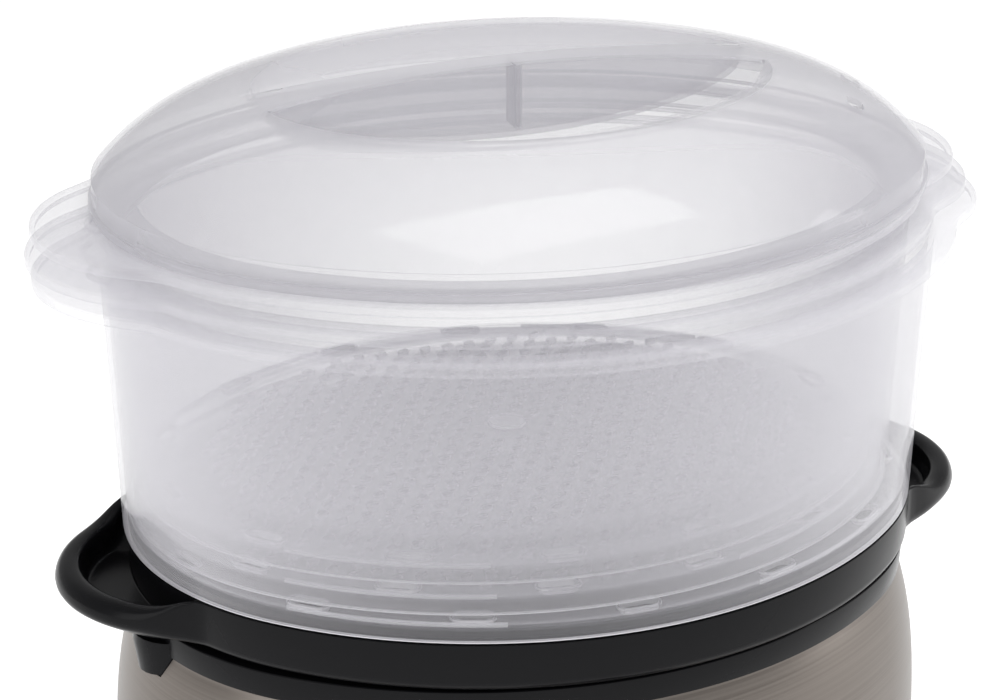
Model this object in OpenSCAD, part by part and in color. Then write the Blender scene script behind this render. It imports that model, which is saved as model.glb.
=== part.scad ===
// Oval electric food steamer, stored with its three baskets nested in each other.
// Origin: centre of the footprint, on the surface the feet stand on. +X is the right
// handle, -Y is the front with the timer, +Z is up. Millimetres.

/* [Baskets] */
// Length of the lowest basket across its foot
basket_len = 254; // [246:1:262]
// Width of the lowest basket across its foot
basket_wid = 210; // [204:1:216]
// Height of a basket from foot to rim
basket_h = 89; // [80:1:100]
// How far the wall leans out from foot to rim
wall_flare = 2.9; // [2:0.1:4]
// Thickness of the moulded walls and floors
wall_t = 1.6; // [1.3:0.1:1.8]
// Height of the turned-down lip round each rim
lip_h = 3.4; // [2.8:0.1:4]
// Number of steam slots round the edge of each floor
slot_count = 14; // [10:2:16]

/* [Lid] */
// Height of the lid from its flange to the crown
lid_h = 37.5; // [36:0.5:42]
// Length of the two finger pockets
pocket_len = 156; // [146:1:166]
// Width across both pockets
pocket_wid = 126; // [115:1:132]
// Depth of the pockets beside the grip bar
pocket_depth = 21; // [16:1:23]

/* [Base] */
// Height of the top of the drip tray above the table
base_h = 132; // [130:1:140]
// Reach of each drip tray handle from the middle
handle_reach = 151; // [148:1:154]
// How far the steel shell flares out from top to bottom
steel_flare = 8.2; // [6:0.1:10]
// Diameter of the timer knob
knob_d = 42; // [36:1:46]
// Height of the timer knob's axis above the table
knob_z = 60; // [57:1:63]

/* [Hidden] */
$fn = 96;
// Overlap where one solid runs into another
eps = 0.01;

// Baskets, lowest first: smaller by, higher by, pushed left by
inset = [0, 5.2, 9];
lift = [0, 6.9, 15.1];
push = [0, -3, -4.6];
// Width of each rim outside its wall, and the reach of its two tabs
rim_w = [6.8, 7.4, 9];
tab_reach = [151, 149.5, 146];
tab_r = 48;
tab_fillet = 10;
// Radius of the lowest basket's ends at the foot
end_r = 90;
// Floor levels above the foot: the ring with the slots, then the raised middle
ring_z = 3.2;
mid_z = 6.6;
// Slots: place of the first one as a share of the pitch, length, width, and inset
slot_phase = [0, 0.58, 0.66];
slot_len = 11;
slot_w = 4.4;
slot_in = 7.5;
// Perforations in the raised floor
perf_pitch = [20, 14];
perf_size = [7, 3];

// Lid, with its own small push to the left
lid_push = -2.6;
lid_z = base_h + lift[2] + basket_h;
lid_a = 128.6;
lid_b = 105.8;
lid_wall = 8.4;
lid_t = 1.7;
lid_seat = inset[2] - wall_flare + wall_t + 2.6;
bar_mid = 4.9;
bar_end = 9.5;

// Base: oval at the top of the steel, then levels above the table
base_a = 125;
base_b = 98.6;
base_e = 83;
tray_low = 115.6;
ring_top = 114.4;
steel_top = 105.6;
pan_top = 20;
steel_low = 14;
foot_h = 5;
bowl_z = 46;
basin_z = 84;
steel_t = 0.8;
front_y = -(base_b + steel_flare);
lug_y = -14;
lamp_x = 46;
lamp_y = side_r(base_a, base_b, base_e) - base_b
    - sqrt(pow(side_r(base_a, base_b, base_e) + steel_flare, 2) - lamp_x * lamp_x);
stud_x = 52;
bracket_z = bowl_z - 13.6;
dial_r = 28.8;
dial_y = -109.5;
dish_y = -102.5;
movement_y = -99.4;
tray_floor = 111;

// ---------- Ovals ----------
// Radius of the long sides of an oval of half length a, half width b and end radius e
function side_r(a, b, e) = ((a - e) * (a - e) + b * b - e * e) / (2 * (b - e));
// Angle from the length where an end arc meets a side arc
function meet(a, b, e) = atan2(side_r(a, b, e) - b, a - e);

// Points and outward headings along an arc about (x, y), n steps from the direction a0 to a1
function arc(x, y, r, a0, a1, n) = [
    for (k = [0 : n - 1])
        let (d = a0 + (a1 - a0) * k / n) [x + r * cos(d), y + r * sin(d), cos(d), sin(d)]
];

// Points and outward headings all the way round an oval
function oval_path(a, b, e) =
    let (r = side_r(a, b, e), t = meet(a, b, e))
    concat(
        arc(a - e, 0, e, -t, t, 18),
        arc(0, b - r, r, t, 180 - t, 14),
        arc(e - a, 0, e, 180 - t, 180 + t, 18),
        arc(0, r - b, r, 180 + t, 360 - t, 14)
    );

// The flat oval itself
module oval(a, b, e) {
    polygon([for (p = oval_path(a, b, e)) [p[0], p[1]]]);
}

// A band all the way round an oval, of a section given anticlockwise as [outward, up]
module oval_band(a, b, e, section) {
    path = oval_path(a, b, e);
    n = len(path);
    m = len(section);
    polyhedron(
        [for (p = path, q = section) [p[0] + q[0] * p[2], p[1] + q[0] * p[3], q[1]]],
        [for (i = [0 : n - 1], j = [0 : m - 1])
            let (i2 = (i + 1) % n, j2 = (j + 1) % m) [i * m + j, i * m + j2, i2 * m + j2, i2 * m + j]]
    );
}

// Point and heading at a distance s round an oval from its front, towards the right
function oval_point(a, b, e, s) =
    let (r = side_r(a, b, e), t = meet(a, b, e), side = r * (90 - t) * PI / 180)
    s < 0 ? let (p = oval_point(a, b, e, -s)) [-p[0], p[1], -p[2]]
    : s <= side ? let (d = s / r * 180 / PI) [r * sin(d), r - b - r * cos(d), d]
    : let (d = 90 - t + (s - side) / e * 180 / PI)
        d <= 90 + t ? [a - e + e * sin(d), -e * cos(d), d]
        : let (k = 90 + t + (s - side - e * 2 * t * PI / 180) / r * 180 / PI)
            [r * sin(k), b - r - r * cos(k), k];
function oval_round(a, b, e) =
    let (t = meet(a, b, e)) PI / 180 * 2 * (side_r(a, b, e) * (180 - 2 * t) + e * 2 * t);

// Closed skin through rings of [half length, half width, height], capped top and bottom
module oval_loft(rings, segs = 70) {
    n = len(rings);
    points = [
        for (r = rings, k = [0 : segs - 1]) [r[0] * cos(360 * k / segs), r[1] * sin(360 * k / segs), r[2]]
    ];
    sides = [
        for (i = [0 : n - 2], k = [0 : segs - 1])
            let (p = i * segs + k, q = i * segs + (k + 1) % segs) [p, p + segs, q + segs, q]
    ];
    polyhedron(points, concat(
        [[for (k = [0 : segs - 1]) k]], sides, [[for (k = [segs - 1 : -1 : 0]) (n - 1) * segs + k]]));
}

// ---------- Baskets ----------
function basket_a(i) = basket_len / 2 - inset[i];
function basket_b(i) = basket_wid / 2 - inset[i];
function basket_e(i) = end_r - inset[i];

// Outline of a rim with its two tabs, moved outward by d
module rim_outline(i, d) {
    out = wall_flare + rim_w[i] + d;
    c = basket_a(i) - basket_e(i);
    tab_x = tab_reach[i] - tab_r;
    r1 = basket_e(i) + wall_flare + rim_w[i] + tab_fillet;
    r2 = tab_r + tab_fillet;
    gap = tab_x - c;
    fx = (r1 * r1 - r2 * r2 + gap * gap) / (2 * gap);
    fy = sqrt(r1 * r1 - fx * fx);
    oval(basket_a(i) + out, basket_b(i) + out, basket_e(i) + out);
    for (turn = [0, 180]) rotate(turn) {
        translate([tab_x, 0]) circle(tab_r + d);
        difference() {
            polygon([[c, 0], [c + fx, -fy], [tab_x, 0], [c + fx, fy]]);
            for (m = [-1, 1]) translate([c + fx, m * fy]) circle(tab_fillet - d);
        }
    }
}

// Section of a wall and floor edge, with a bead that carries the basket nested inside
function wall_section(bead) =
    let (top = ring_z + wall_t) [
        [-0.8, 0], [0, 0.8], [wall_flare, basket_h], [wall_flare - wall_t, basket_h],
        [-wall_t, top + 2.4], [-wall_t - 0.7, top + 0.7], [-wall_t - 2.4, top], [-12, top],
        [-13, bead], [-14.6, bead], [-15.4, mid_z + wall_t], [-17, mid_z + wall_t], [-17, mid_z],
        [-14, mid_z], [-13.4, ring_z], [-wall_t, ring_z], [-wall_t, 0]
    ];

module rounded_slot(length, width) {
    square([length - width, width], center = true);
    for (s = [-1, 1]) translate([s * (length - width) / 2, 0]) circle(width / 2, $fn = 24);
}

// Perforated middle of a floor
module floor_sheet(i) {
    in = 16;
    keep = 27;
    a = basket_a(i);
    b = basket_b(i);
    difference() {
        oval(a - in, b - in, basket_e(i) - in);
        for (row = [-5 : 5], col = [-6 : 6])
            let (x = (col + (row % 2 == 0 ? 0 : 0.5)) * perf_pitch[0], y = row * perf_pitch[1])
                if (pow(x / (a - keep), 2) + pow(y / (b - keep), 2) < 1 && norm([x, y]) > 9)
                    translate([x, y]) rotate(20) square(perf_size, center = true);
    }
}

module basket(i) {
    a = basket_a(i);
    b = basket_b(i);
    e = basket_e(i);
    bead = i < 2 ? lift[i + 1] - lift[i] + ring_z : lift[2] - lift[1] + ring_z;
    open = wall_flare - wall_t / 2;
    pitch = oval_round(a - slot_in, b - slot_in, e - slot_in) / slot_count;
    translate([push[i], 0, base_h + lift[i]]) {
        difference() {
            oval_band(a, b, e, wall_section(bead));
            for (k = [0 : slot_count - 1]) {
                at = (k - slot_count / 2 + slot_phase[i]) * pitch;
                p = oval_point(a - slot_in, b - slot_in, e - slot_in, at);
                translate([p[0], p[1], 1]) rotate(p[2])
                    linear_extrude(wall_t + 3) rounded_slot(slot_len, slot_w);
            }
        }
        translate([0, 0, mid_z]) linear_extrude(wall_t) floor_sheet(i);
        translate([0, 0, mid_z + wall_t - eps]) cylinder(h = 1.2, d = 12);
        translate([0, 0, basket_h - wall_t]) linear_extrude(wall_t) difference() {
            rim_outline(i, 0);
            oval(a + open, b + open, e + open);
        }
        translate([0, 0, basket_h - lip_h]) linear_extrude(lip_h) difference() {
            rim_outline(i, 0);
            rim_outline(i, -wall_t);
        }
        for (turn = [0, 180]) rotate([0, 0, turn])
            translate([tab_reach[i] - 17, 0, basket_h - eps]) rotate([0, 0, -50])
                rotate_extrude(angle = 100) translate([9, 0]) square([1.6, 1]);
    }
}

module basket_top() { color([0.86, 0.85, 0.88, 0.6]) basket(2); }
module basket_middle() { color([0.85, 0.84, 0.87, 0.6]) basket(1); }
module basket_bottom() { color([0.84, 0.83, 0.86, 0.6]) basket(0); }

// ---------- Lid ----------
// Height of the dome above the flange, from 0 at the crown to 1 at the wall
function dome(k) =
    lid_wall + (lid_h - lid_wall) * (0.73 * (1 - pow(k, 6)) + 0.27 * pow(1 - k * k, 2));
function dome_at(x, y) = dome(min(1, norm([x / lid_a, y / lid_b])));
// Half width of the grip bar, and of both pockets together, at x
function bar_y(x) = bar_mid + (bar_end - bar_mid) * pow(2 * x / pocket_len, 2);
function pocket_y(x) = max(bar_y(x), pocket_wid / 2 * sqrt(max(0, 1 - pow(2 * x / (pocket_len + 2), 2))));
// How far the pocket floor lies below the dome: deepest at the bar, nothing at the outer edge
function pocket_drop(x, v) =
    pocket_depth * sqrt(max(0, 1 - pow(2 * x / pocket_len, 2))) * pow(1 - v, 0.9);

// One finger pocket as a solid, grown by g
module pocket(g) {
    nx = 16;
    nv = 5;
    half = pocket_len / 2 + g;
    cols = [for (i = [0 : nx]) -half * cos(180 * i / nx)];
    floor_pts = [
        for (x = cols, j = [0 : nv])
            let (y0 = bar_y(x) - g, y1 = max(pocket_y(x), bar_y(x) + 0.6) + g, y = y0 + (y1 - y0) * j / nv)
                [x, y, dome_at(x, y) - pocket_drop(x, j / nv) - g]
    ];
    top_pts = [for (p = floor_pts) [p[0], p[1], lid_h + 8]];
    m = len(floor_pts);
    w = nv + 1;
    cell = [for (i = [0 : nx - 1], j = [0 : nv - 1]) i * w + j];
    polyhedron(concat(floor_pts, top_pts), concat(
        [for (c = cell) [c + w + 1, c + 1, c]],
        [for (c = cell) [c + w, c + w + 1, c]],
        [for (c = cell) [m + c, m + c + 1, m + c + w + 1]],
        [for (c = cell) [m + c, m + c + w + 1, m + c + w]],
        [for (i = [0 : nx - 1]) [m + i * w, m + i * w + w, i * w + w, i * w]],
        [for (i = [0 : nx - 1]) [i * w + nv, i * w + w + nv, m + i * w + w + nv, m + i * w + nv]],
        [for (j = [0 : nv - 1]) [j + 1, m + j + 1, m + j, j]],
        [for (j = [0 : nv - 1]) [nx * w + j, m + nx * w + j, m + nx * w + j + 1, nx * w + j + 1]]
    ));
}

// Everything under the dome, drawn in by t
module dome_solid(t) {
    steps = [1, 0.98, 0.94, 0.88, 0.8, 0.68, 0.52, 0.34, 0.16, 0.02];
    hull() oval_loft([
        [lid_a - t, lid_b - t, t > 0 ? -0.5 : 0],
        for (k = steps) [(lid_a - t) * k, (lid_b - t) * k, dome(k) - t]
    ]);
}

// Distance from the middle to the outer face of the skirt, in the direction d
function skirt_at(d) =
    let (a = basket_len / 2 - lid_seat, b = basket_wid / 2 - lid_seat)
    let (r = side_r(a, b, end_r - lid_seat))
    abs(sin(d)) < 0.5 ? a
    : abs(cos(d)) < 0.5 ? b
    : sin(d) * sin(d) * (r - b) / abs(sin(d)) * -1 + sqrt(r * r - pow((r - b) * cos(d), 2));

module lid_gusset(d) {
    out = skirt_at(d) - lid_t - 0.3;
    hull() {
        translate([out - 4, -0.6, lid_t - 0.2]) cube([4.4, 1.2, 0.4]);
        translate([out - 0.4, -0.6, -4.6]) cube([0.8, 1.2, 0.4]);
    }
}

module lid() {
    seat = lid_seat;
    color([0.88, 0.87, 0.9, 0.55]) translate([lid_push, 0, lid_z]) {
        difference() {
            union() {
                difference() {
                    dome_solid(0);
                    dome_solid(lid_t);
                }
                intersection() {
                    dome_solid(0);
                    for (s = [0, 180]) rotate([0, 0, s]) pocket(lid_t);
                }
            }
            for (s = [0, 180]) rotate([0, 0, s]) pocket(0);
            for (d = [-7, -22]) rotate([0, 0, d]) hull()
                for (s = [-1, 1]) translate([107, s * 1.6, 4]) cylinder(h = lid_h, d = 4.6, $fn = 24);
        }
        linear_extrude(lid_t) difference() {
            oval(lid_a + 0.8, lid_b + 0.8, end_r);
            oval(basket_len / 2 - seat - lid_t, basket_wid / 2 - seat - lid_t, end_r - seat - lid_t);
        }
        translate([0, 0, -5]) linear_extrude(5 + eps) difference() {
            oval(basket_len / 2 - seat, basket_wid / 2 - seat, end_r - seat);
            oval(basket_len / 2 - seat - lid_t, basket_wid / 2 - seat - lid_t, end_r - seat - lid_t);
        }
        translate([-0.8, -bar_mid - 0.5, lid_h - pocket_depth])
            cube([1.6, 2 * bar_mid + 1, pocket_depth - 0.8]);
        // Small gussets that centre the skirt in the top basket
        for (d = [0 : 45 : 315]) rotate([0, 0, d]) lid_gusset(d);
    }
}

// ---------- Drip tray ----------
module tray_handle() {
    difference() {
        hull() {
            translate([handle_reach - 41, 0, tray_low]) cylinder(h = 1, r = 33, $fn = 64);
            translate([handle_reach - 42, 0, 119.5]) cylinder(h = 1.5, r = 42, $fn = 64);
            translate([handle_reach - 43, 0, 127]) cylinder(h = 1, r = 40, $fn = 64);
            translate([95, -40, tray_low]) cube([1, 80, 12.4]);
        }
        hull() {
            translate([handle_reach - 43, 0, 118]) cylinder(h = 1, r = 31.5, $fn = 64);
            translate([handle_reach - 43, 0, 132]) cylinder(h = 1, r = 34.5, $fn = 64);
            translate([99, -26, 118]) cube([1, 52, 15]);
        }
        translate([0, 0, 100]) linear_extrude(40)
            oval(basket_len / 2 - 5, basket_wid / 2 - 5, end_r - 5);
    }
}

module drip_tray() {
    color([0.07, 0.07, 0.08]) {
        oval_band(basket_len / 2, basket_wid / 2, end_r, [
            [-4, tray_low], [-0.6, base_h - 0.6], [-1.2, base_h], [-4.2, base_h],
            [-4.6, base_h + 2.6], [-6, base_h + 2.6], [-6.6, base_h - 2], [-7, 121], [-9, 118.4],
            [-18, 116.6], [-18.8, tray_floor + 2], [-30, tray_floor + 2], [-30, tray_floor],
            [-17, tray_floor], [-16.4, ring_top], [-7, ring_top], [-7, tray_low]
        ]);
        translate([0, 0, tray_floor]) linear_extrude(2) difference() {
            oval(basket_len / 2 - 29, basket_wid / 2 - 29, end_r - 29);
            circle(30);
        }
        translate([0, 0, tray_floor]) rotate_extrude() translate([28, 0]) square([2.4, 13]);
        for (s = [0, 180]) rotate([0, 0, s]) tray_handle();
    }
}

module steam_sleeve() {
    low = bowl_z + 2.4;
    color([0.9, 0.9, 0.88]) translate([0, 0, low]) difference() {
        rotate_extrude() polygon([[50, 0], [52, 0], [48, 44], [45, 50], [43, 50], [46, 44]]);
        for (turn = [0 : 60 : 300]) rotate([0, 0, turn]) translate([40, -5, -1]) cube([20, 10, 6]);
    }
}

// ---------- Base ----------
function steel_d(z) = steel_flare * (1 - pow(1 - (steel_top - z) / (steel_top - pan_top), 4));
steel_step = (steel_top - pan_top) / 6;
steel_levels = [for (k = [0 : 6]) steel_top - pow(k / 6, 1.5) * 6 * steel_step];

module steel_solid(d) {
    oval_band(base_a, base_b, base_e, [
        [-20, steel_low], [steel_flare + d, steel_low],
        for (k = [6 : -1 : 0]) [steel_d(steel_levels[k]) + d, steel_levels[k]],
        [d, steel_top + 3], [-20, steel_top + 3]
    ]);
}

module steel_shell() {
    color([0.72, 0.7, 0.68]) difference() {
        oval_band(base_a, base_b, base_e, concat(
            [[steel_flare, steel_low]],
            [for (k = [6 : -1 : 0]) [steel_d(steel_levels[k]), steel_levels[k]]],
            [[0, steel_top + 3], [-steel_t, steel_top + 3]],
            [for (k = [0 : 6]) [steel_d(steel_levels[k]) - steel_t, steel_levels[k]]],
            [[steel_flare - steel_t, steel_low]]
        ));
        translate([0, front_y - 5, knob_z]) rotate([-90, 0, 0]) cylinder(h = 20, r = dial_r + 0.2);
        cord_hole();
        translate([lamp_x, lamp_y - 8, knob_z]) rotate([-90, 0, 0]) cylinder(h = 20, r = 4.2);
        lug_body(0.4);
    }
}

// The spout under the left handle, where water is topped up, grown by g
module lug_body(g) {
    hull() {
        translate([-121, lug_y, 97 - g]) cylinder(h = 1, r = 8.5 + g);
        translate([-118, lug_y, ring_top - 5]) cylinder(h = 1, r = 12.5 + g);
    }
}

module water_reservoir() {
    color([0.06, 0.06, 0.07]) difference() {
        union() {
            oval_band(base_a, base_b, base_e, [
                [0.3, steel_top], [1.1, steel_top], [1.6, ring_top - 0.6], [1, ring_top], [-9, ring_top],
                [-11, 106], [-12.5, basin_z + 3], [-16, basin_z + 1.5], [-32, basin_z],
                [-34.4, basin_z - 3], [-36, bowl_z + 4], [-40, bowl_z + 2.4], [-50, bowl_z + 2.4],
                [-50, bowl_z], [-38.6, bowl_z], [-34, bowl_z + 3], [-32, basin_z - 3],
                [-16, basin_z - 1.4], [-10, basin_z + 1], [-8.6, 106], [-6.4, ring_top - 2.4],
                [-1.6, ring_top - 2.4], [0.3, ring_top - 2.4]
            ]);
            translate([0, 0, bowl_z]) linear_extrude(2.4) difference() {
                oval(base_a - 49, base_b - 49, base_e - 49);
                circle(38);
            }
            for (s = [-1, 1]) translate([s * stud_x, 0, bowl_z - 12]) cylinder(h = 12 + eps, d = 9);
            for (x = [-80, 80], y = [-52, 52]) translate([x, y, foot_h + 30]) cylinder(h = 48, d = 10);
            difference() {
                lug_body(0);
                translate([0, 0, 80]) linear_extrude(40) oval(base_a - 10, base_b - 10, base_e - 10);
            }
        }
        translate([-121, lug_y, 101]) cylinder(h = 15, r = 6);
        translate([-121, lug_y - 4, 103]) cube([14, 8, 7]);
        for (s = [-1, 1]) translate([s * stud_x, 0, bowl_z - 13]) cylinder(h = 11, d = 3.2);
        for (x = [-80, 80], y = [-52, 52]) translate([x, y, foot_h + 29]) cylinder(h = 16, d = 3.2);
    }
}

module cord_hole() {
    translate([0, 84, 12.8]) rotate([-90, 0, 0]) cylinder(h = 30, d = 9);
}

module base_pan() {
    f = steel_flare;
    color([0.07, 0.07, 0.08]) difference() {
        union() {
            oval_band(base_a, base_b, base_e, [
                [f - 3, foot_h], [f + 0.4, foot_h + 2], [f + 1.8, pan_top - 0.6], [f + 1.2, pan_top],
                [f + 0.2, pan_top], [f + 0.2, steel_low - 0.4], [f - 1.1, steel_low - 0.4],
                [f - 1.1, 17], [f - 3, 17], [f - 4.4, foot_h + 2.2], [-20, foot_h + 2.2], [-20, foot_h]
            ]);
            translate([0, 0, foot_h]) linear_extrude(2.2) oval(base_a - 15, base_b - 15, base_e - 15);
            for (x = [-80, 80], y = [-52, 52]) translate([x, y, foot_h]) cylinder(h = 30, d = 10);
        }
        for (x = [-80, 80], y = [-52, 52]) translate([x, y, foot_h - 1]) {
            cylinder(h = 32, d = 3.4);
            cylinder(h = 5, d = 7);
        }
        for (x = [-1, 1], y = [-1, 1]) translate([x * 98, y * 46, foot_h - 1]) cylinder(h = 2.2, d = 16.4);
        cord_hole();
        for (x = [-40 : 8 : 40]) translate([x - 1.5, -24, foot_h - 1]) cube([3, 48, 4]);
    }
}

module rubber_feet() {
    color([0.12, 0.12, 0.12]) for (x = [-1, 1], y = [-1, 1]) translate([x * 98, y * 46, 0])
        rotate_extrude() polygon([[0, 0], [7, 0], [8, 1], [8, foot_h + 1.2], [0, foot_h + 1.2]]);
}

// A cross-head screw along +Z, with the underside of its head at 0
module screw(len, d, head_d, head_h) {
    translate([0, 0, -eps]) cylinder(h = len + eps, d = d);
    difference() {
        translate([0, 0, -head_h]) cylinder(h = head_h, d = head_d);
        for (turn = [0, 90]) rotate([0, 0, turn])
            translate([0, 0, -head_h]) cube([head_d * 0.6, 0.8, 1.6], center = true);
    }
}

module pan_screws() {
    color("silver") for (x = [-80, 80], y = [-52, 52]) translate([x, y, foot_h + 4]) screw(34, 3, 6.4, 2);
}

// ---------- Heater ----------
module heating_element() {
    color([0.62, 0.62, 0.64]) {
        translate([0, 0, bowl_z]) rotate_extrude() polygon([
            [0, -2], [44, -2], [44, -4.4], [33, -4.4], [31, -10.6], [25, -10.6], [23, -4.4], [0, -4.4]
        ]);
        for (d = [240, 300]) rotate([0, 0, d]) translate([28, 0, bowl_z - 22]) cylinder(h = 15, d = 3.4);
    }
}

module heater_seal() {
    color([0.8, 0.78, 0.72]) translate([0, 0, bowl_z - 2]) difference() {
        cylinder(h = 2, r = 44);
        translate([0, 0, -1]) cylinder(h = 4, r = 38);
    }
}

module heater_bracket() {
    color("silver") difference() {
        translate([-stud_x - 8, -9, bracket_z]) cube([2 * stud_x + 16, 18, 1.6]);
        for (s = [-1, 1]) translate([s * stud_x, 0, bracket_z - 1]) cylinder(h = 4, d = 3.4);
    }
}

module bracket_screws() {
    color("silver") for (s = [-1, 1]) translate([s * stud_x, 0, bracket_z]) screw(11, 3, 6, 2);
}

module thermostat() {
    color([0.75, 0.74, 0.7]) translate([0, 0, bracket_z + 1.6]) {
        cylinder(h = 7.5, d = 17);
        for (s = [-1, 1]) translate([s * 5 - 2, 3, 1]) cube([4, 11, 1]);
    }
}

module thermal_fuse() {
    color([0.8, 0.8, 0.82]) translate([16, 0, bracket_z - 2.4]) rotate([0, 90, 0]) cylinder(h = 11, d = 4.6);
}

// ---------- Timer ----------
module timer_movement() {
    color([0.85, 0.85, 0.82]) difference() {
        union() {
            translate([-22, movement_y, knob_z - 21]) cube([44, 22, 42]);
            for (x = [-12, 12]) translate([x - 3, movement_y + 22 - eps, knob_z + 8]) cube([6, 5, 1]);
        }
        translate([0, movement_y - 1, knob_z]) rotate([-90, 0, 0]) cylinder(h = 13, r = 3.05);
        for (x = [-15, 15]) translate([x, movement_y - 1, knob_z]) rotate([-90, 0, 0])
            cylinder(h = 9, d = 3.2);
    }
}

module timer_shaft() {
    color("silver") translate([0, movement_y + 11.5, knob_z]) rotate([90, 0, 0]) cylinder(h = 25.3, r = 3);
}

module timer_screws() {
    color("silver") for (x = [-15, 15]) translate([x, dish_y + 1.7, knob_z]) rotate([-90, 0, 0])
        screw(8.5, 3, 5.6, 1.6);
}

module dial_plate() {
    color([0.08, 0.08, 0.09]) difference() {
        union() {
            difference() {
                translate([0, dial_y, knob_z]) rotate([-90, 0, 0]) cylinder(h = 10, r = dial_r + 3.4);
                steel_solid(0.1);
            }
            translate([0, dial_y, knob_z]) rotate([-90, 0, 0]) cylinder(h = movement_y - dial_y, r = dial_r);
        }
        translate([0, dial_y - 1, knob_z]) rotate([-90, 0, 0]) cylinder(h = dish_y - dial_y + 1, r = 25);
        translate([0, dial_y, knob_z]) rotate([-90, 0, 0]) cylinder(h = 12, r = 4);
        for (x = [-15, 15]) translate([x, dish_y - 1, knob_z]) rotate([-90, 0, 0]) {
            cylinder(h = 6, d = 3.4);
            cylinder(h = 2.7, d = 6.2);
        }
    }
}

module timer_knob() {
    knob_back = dish_y - 0.7;
    knob_front = -118.6;
    r = knob_d / 2;
    h = knob_back - knob_front;
    color([0.1, 0.1, 0.11]) translate([0, knob_back, knob_z]) rotate([90, 0, 0]) difference() {
        union() {
            rotate_extrude() polygon([
                [0, 2], [r - 2, 2], [r - 2, 0], [r, 0], [r, 5], [r - 0.8, 6], [0, 7]
            ]);
            intersection() {
                translate([-4, -r, 2]) cube([8, 2 * r, h - 2]);
                rotate_extrude() polygon([[0, 0], [r - 1, 0], [r - 1.6, h - 2], [r - 3.6, h], [0, h]]);
            }
        }
        translate([0, 0, -1]) cylinder(h = 11.2, r = 3);
    }
}

// ---------- Lamp, wiring and cord entry ----------
module lamp_lens() {
    color([0.9, 0.25, 0.1, 0.8]) translate([lamp_x, lamp_y - 1.4, knob_z]) rotate([-90, 0, 0])
        rotate_extrude() polygon([[0, 0], [3, 0.3], [4, 1.2], [4, 9], [0, 9]]);
}

module neon_lamp() {
    color([0.95, 0.6, 0.4, 0.7]) translate([lamp_x, lamp_y + 7.7, knob_z]) rotate([-90, 0, 0])
        cylinder(h = 13, d = 5);
}

module terminal_block() {
    color([0.9, 0.9, 0.86]) translate([0, 72, foot_h + 2.2]) difference() {
        translate([-16, -7, 0]) cube([32, 14, 13]);
        for (x = [-10, 0, 10]) translate([x, 0, 6]) cylinder(h = 8, d = 4.4);
        for (x = [-10, 0, 10]) translate([x, -8, 4]) rotate([-90, 0, 0]) cylinder(h = 16, d = 3);
    }
}

module terminal_screws() {
    color("silver") for (x = [-10, 0, 10]) translate([x, 72, foot_h + 2.2 + 6]) cylinder(h = 5, d = 4);
}

// A lead through a list of points
module lead(path, d = 1.8) {
    for (k = [0 : len(path) - 2]) hull() {
        translate(path[k]) sphere(d = d, $fn = 10);
        translate(path[k + 1]) sphere(d = d, $fn = 10);
    }
}

module wiring() {
    low = foot_h + 6;
    color([0.3, 0.3, 0.32]) {
        lead([
            [-10, 64, low + 1], [-10, 52, low + 4], [-62, 20, low + 6], [-62, -60, 20], [-12, -71, 60],
            [-12, -73, 66.8]
        ]);
        lead([[0, 64, low + 1], [0, 50, low + 3], [30, 20, 16], [22, -18, 18], [14, -24.2, 22]]);
        lead([
            [10, 64, low + 1], [10, 54, low + 4], [66, 18, 20], [66, -60, 40], [48, -72, 58], [46, -77, 60]
        ]);
    }
}

module cord_gland() {
    color([0.1, 0.1, 0.1]) translate([0, 108.8, 12.8]) rotate([90, 0, 0]) difference() {
        union() {
            cylinder(h = 20, d = 8.8);
            translate([0, 0, -3]) cylinder(h = 3 + eps, d = 13);
        }
        translate([0, 0, -4]) cylinder(h = 25, d = 6.6);
    }
}

lid();
basket_top();
basket_middle();
basket_bottom();
drip_tray();
steam_sleeve();
water_reservoir();
steel_shell();
base_pan();
rubber_feet();
heating_element();
heater_seal();
heater_bracket();
bracket_screws();
thermostat();
thermal_fuse();
timer_movement();
timer_shaft();
timer_screws();
dial_plate();
timer_knob();
lamp_lens();
neon_lamp();
terminal_block();
terminal_screws();
wiring();
cord_gland();
pan_screws();
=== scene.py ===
"""Oval electric food steamer: a steel-banded base, a black drip tray with two scooped handles,
three clear baskets nested in each other and a domed clear lid with a sunken grip.

Lengths are in millimetres until mesh_object() turns them into metres.
"""

import math

import bmesh
import bpy
from mathutils import Matrix, Vector, geometry


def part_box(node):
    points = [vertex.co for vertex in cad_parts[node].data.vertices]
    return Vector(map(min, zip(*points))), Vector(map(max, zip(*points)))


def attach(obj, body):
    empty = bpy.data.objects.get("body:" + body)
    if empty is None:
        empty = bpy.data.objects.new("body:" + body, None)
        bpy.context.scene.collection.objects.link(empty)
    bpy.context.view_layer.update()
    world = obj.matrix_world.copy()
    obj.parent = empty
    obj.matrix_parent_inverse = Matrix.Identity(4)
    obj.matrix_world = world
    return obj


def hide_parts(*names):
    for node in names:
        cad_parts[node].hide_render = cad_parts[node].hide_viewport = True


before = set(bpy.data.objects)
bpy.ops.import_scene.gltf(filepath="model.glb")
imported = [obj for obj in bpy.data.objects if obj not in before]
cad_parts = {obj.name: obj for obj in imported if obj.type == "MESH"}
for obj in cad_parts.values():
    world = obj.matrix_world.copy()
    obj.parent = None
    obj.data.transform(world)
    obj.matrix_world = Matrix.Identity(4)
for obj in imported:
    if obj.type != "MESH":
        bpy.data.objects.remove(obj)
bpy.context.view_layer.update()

MM = 0.001
TURN_STEPS = 240


def node_mm(node):
    low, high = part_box(node)
    return [v / MM for v in low], [v / MM for v in high]


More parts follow.
